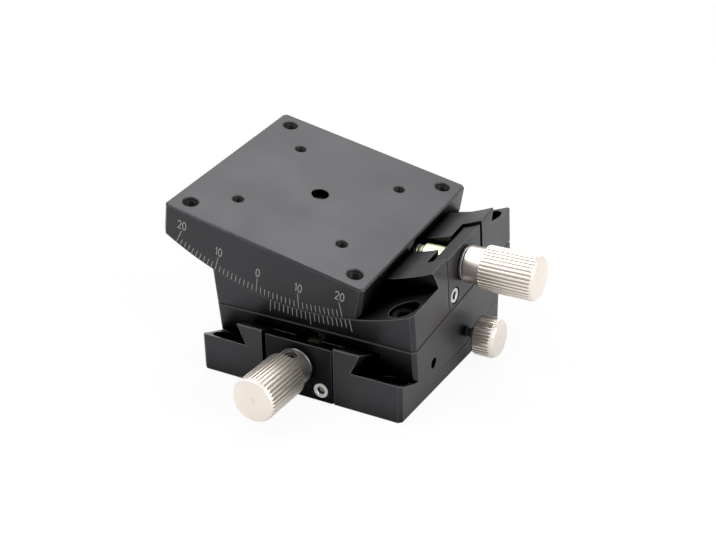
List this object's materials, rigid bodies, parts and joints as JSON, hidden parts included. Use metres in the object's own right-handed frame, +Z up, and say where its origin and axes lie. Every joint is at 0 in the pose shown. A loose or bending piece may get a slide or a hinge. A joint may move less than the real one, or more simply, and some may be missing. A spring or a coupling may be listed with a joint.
{
  "type": "manual tilt stage",
  "caption": "Manual goniometer tilt stage: arc dovetail stages stacked crosswise, with worm drives, knurled knobs, side clamps and degree scales.",
  "frame": {"origin": "centre of the lower base's underside", "axes": "+Z up off the underside, +X along the lower tilt axis towards the lower clamp knob, -Y towards the lower worm knob"},
  "size_m": [0.0946, 0.0965, 0.0511],
  "materials": {
    "black_anodised": "satin black anodised",
    "knob_steel": "satin nickel plated, straight knurl",
    "screw_steel": "stainless",
    "worm_steel": "ground",
    "black_steel": "black oxide",
    "brass": "machined"
  },
  "bodies": {
    "base": {"lower_base": "black_anodised", "lower_worm_plate": "black_anodised", "lower_plate_screws": "screw_steel", "lower_worm_bush": "brass", "lower_tail_bush": "brass", "lower_thrust_washer": "screw_steel"},
    "mid": {"lower_table": "black_anodised", "lower_worm_segment": "brass", "lower_segment_screw": "black_steel", "lower_gib": "black_steel", "lower_gib_screws": "black_steel", "lower_clamp_pad": "brass", "joining_screws": "black_steel", "upper_base": "black_anodised", "upper_worm_plate": "black_anodised", "upper_plate_screws": "screw_steel", "upper_worm_bush": "brass", "upper_tail_bush": "brass", "upper_thrust_washer": "screw_steel"},
    "table": {"upper_table": "black_anodised", "upper_worm_segment": "brass", "upper_segment_screw": "black_steel", "upper_gib": "black_steel", "upper_gib_screws": "black_steel", "upper_clamp_pad": "brass"},
    "lower_worm": {"lower_worm": "worm_steel", "lower_worm_knob": "knob_steel", "lower_knob_set_screw": "black_steel"},
    "upper_worm": {"upper_worm": "worm_steel", "upper_worm_knob": "knob_steel", "upper_knob_set_screw": "black_steel"},
    "lower_clamp": {"lower_clamp_screw": "black_steel", "lower_clamp_knob": "knob_steel"},
    "upper_clamp": {"upper_clamp_screw": "black_steel", "upper_clamp_knob": "knob_steel"}
  },
  "joints": [
    {"name": "lower_tilt", "type": "hinge", "parent": "base", "child": "mid", "pos_m": [0, 0, 0.0795], "axis": [1, 0, 0], "range_deg": [-26.8, 13.2]},
    {"name": "upper_tilt", "type": "hinge", "parent": "mid", "child": "table", "pos_m": [0, -0.00235, 0.09917], "axis": [0, 0.993, 0.1184], "range_deg": [-32.5, 7.5]},
    {"name": "lower_worm_turn", "type": "hinge", "parent": "base", "child": "lower_worm", "pos_m": [0, -0.03, 0.0094], "axis": [0, -1, 0], "range_deg": [-7300, 3610]},
    {"name": "upper_worm_turn", "type": "hinge", "parent": "mid", "child": "upper_worm", "pos_m": [0.03, 0.00595, 0.02956], "axis": [1, 0, 0], "range_deg": [-8850, 2050]},
    {"name": "lower_clamp_turn", "type": "hinge", "parent": "mid", "child": "lower_clamp", "pos_m": [0.03, 0.00851, 0.00811], "axis": [1, 0, 0], "range_deg": [0, 180]},
    {"name": "upper_clamp_turn", "type": "hinge", "parent": "table", "child": "upper_clamp", "pos_m": [-0.01556, 0.03576, 0.03302], "axis": [0, 0.993, 0.1184], "range_deg": [0, 180]}
  ],
  "couplings": [
    {"joint": "lower_worm_turn", "follows": "lower_tilt", "ratio": 272},
    {"joint": "upper_worm_turn", "follows": "upper_tilt", "ratio": 272}
  ]
}
